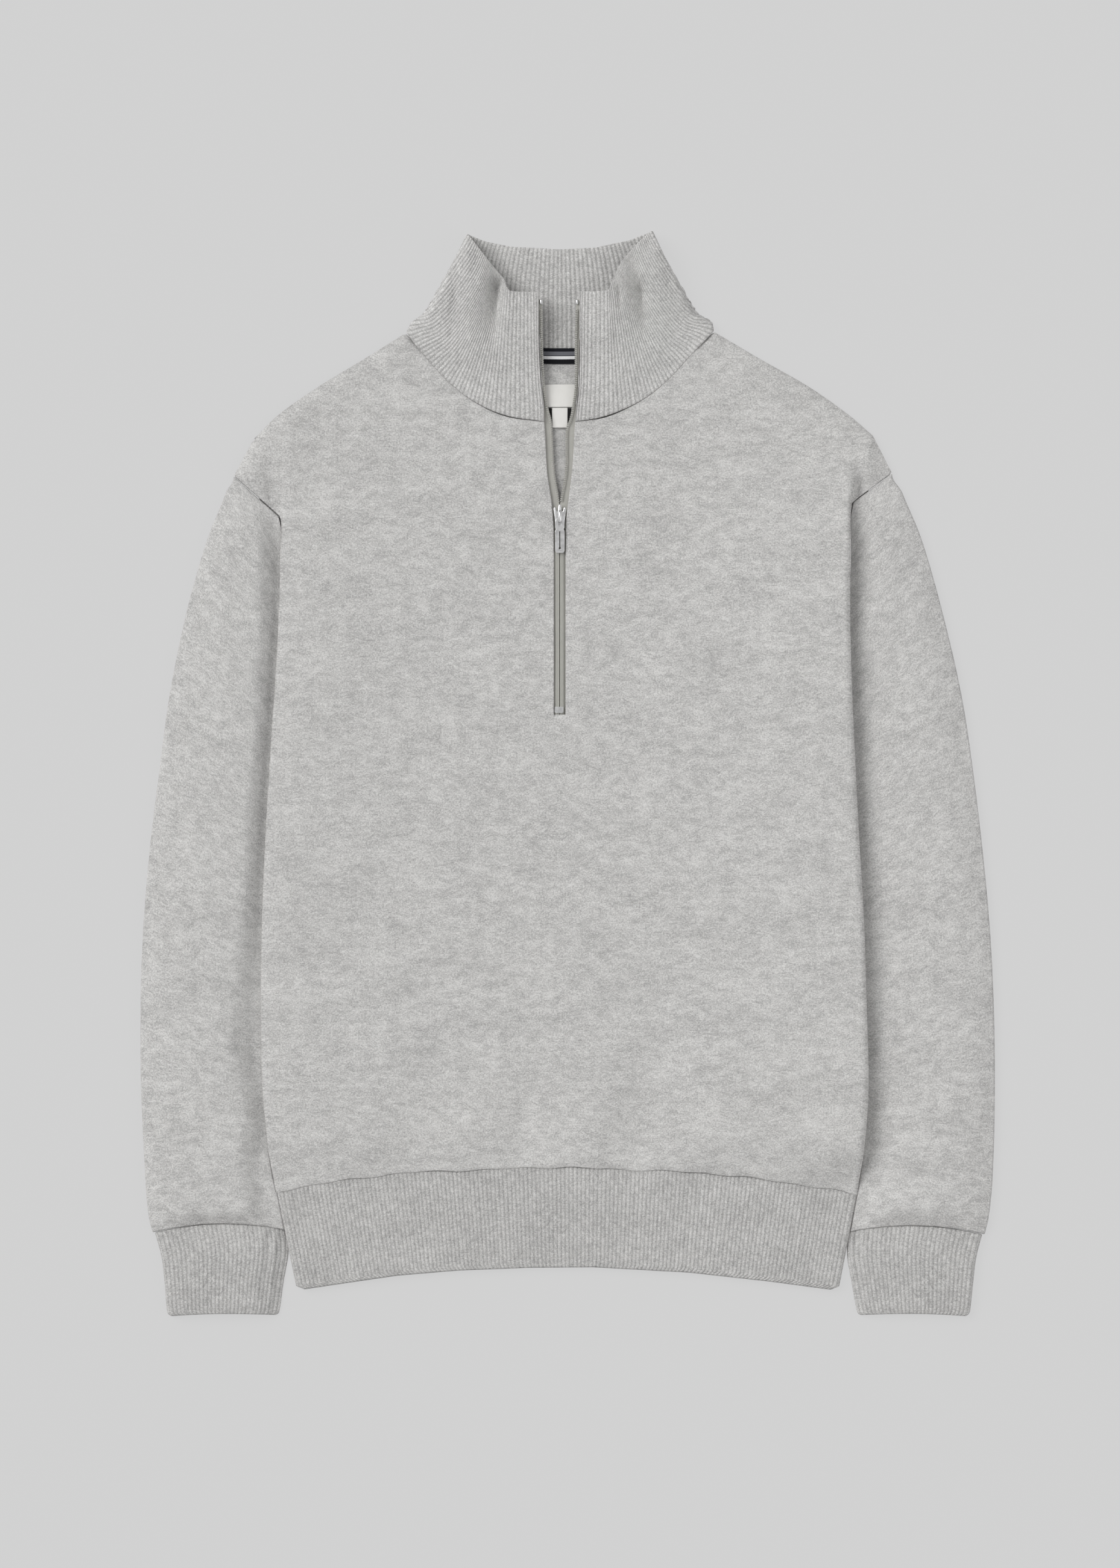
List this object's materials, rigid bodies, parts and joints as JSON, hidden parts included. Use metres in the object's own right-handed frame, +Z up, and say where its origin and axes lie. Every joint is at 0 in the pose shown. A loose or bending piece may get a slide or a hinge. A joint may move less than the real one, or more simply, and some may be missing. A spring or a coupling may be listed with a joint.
{
  "type": "quarter zip sweater",
  "caption": "Long-sleeved sweatshirt-knit sweater with a ribbed stand collar, part-open neck zip, rib cuffs and rib hem, laid flat on its back with the sleeves beside the body.",
  "frame": {"origin": "on the surface that the garment lies on, under the middle of its box", "axes": "+X to the right seen from above, +Y towards the collar along the body, +Z up through the front, off the surface"},
  "size_m": [0.619, 0.7862, 0.0134],
  "materials": {
    "jersey": "marl grey sweatshirt knit, matt with a light nap",
    "rib": "marl grey rib knit, matt",
    "zip_tape": "woven zip tape, matt",
    "zip_coil": "nylon coil, satin",
    "steel": "polished nickel-plated metal",
    "neck_tape": "woven tape with lengthwise stripes",
    "label": "woven satin label, bare",
    "tab_back": "black woven tab"
  },
  "bodies": {
    "garment": {"body_front": "jersey", "body_back": "jersey", "sleeve_left": "jersey", "sleeve_right": "jersey", "cuff_left": "rib", "cuff_right": "rib", "hem_band": "rib", "collar": "rib", "zip_tape_left": "zip_tape", "zip_tape_right": "zip_tape", "zip_chain": "zip_coil", "zip_slider": "steel", "zip_bottom_stop": "steel", "zip_top_stop_left": "steel", "zip_top_stop_right": "steel", "neck_tape": "neck_tape", "label": "label", "size_tab": "label", "size_tab_back": "tab_back"},
    "pull": {"zip_pull": "steel"}
  },
  "joints": [
    {"name": "pull_swing", "type": "hinge", "parent": "garment", "child": "pull", "pos_m": [-0.00565, 0.18395, 0.0093], "axis": [-1, 0, 0], "range_deg": [0, 130]}
  ]
}
